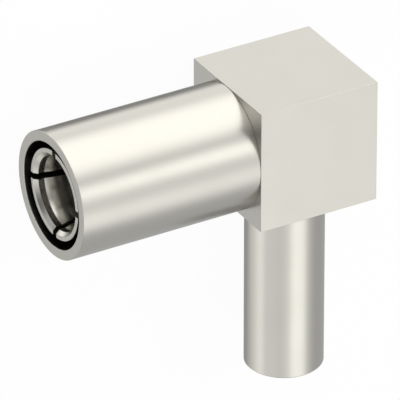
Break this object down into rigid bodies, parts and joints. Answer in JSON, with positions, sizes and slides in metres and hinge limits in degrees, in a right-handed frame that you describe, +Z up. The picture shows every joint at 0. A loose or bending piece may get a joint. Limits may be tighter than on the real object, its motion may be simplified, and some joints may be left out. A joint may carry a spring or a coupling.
{
  "type": "right-angle smb plug connector",
  "caption": "Right-angle push-on coaxial plug with a square body, a slotted spring contact inside a plain sleeve, and a crimp ferrule for thin cable.",
  "frame": {"origin": "on the square body's side that it lies on, straight under the crossing of the mating axis and the cable axis", "axes": "+X the way the mating end points, +Y the way the cable leaves, +Z up from the side it lies on; both axes run at z 3.175 mm"},
  "size_m": [0.0159, 0.0159, 0.0063],
  "materials": {
    "plated_brass": "turned and milled brass under smooth bright nickel",
    "plated_spring_metal": "turned and slotted spring alloy under thin nickel",
    "gold_plate": "thin bright gold over a turned contact",
    "white_insulator": "turned fluoroplastic, waxy white"
  },
  "bodies": {
    "root": {"right_angle_body": "plated_brass", "coupling_sleeve": "plated_brass", "spring_contact": "plated_spring_metal", "front_insulator": "white_insulator", "centre_contact": "gold_plate", "rear_insulator": "white_insulator", "cap_insulator": "white_insulator", "access_cap": "plated_brass", "crimp_stem": "plated_brass", "crimp_ferrule": "plated_brass"}
  },
  "joints": []
}
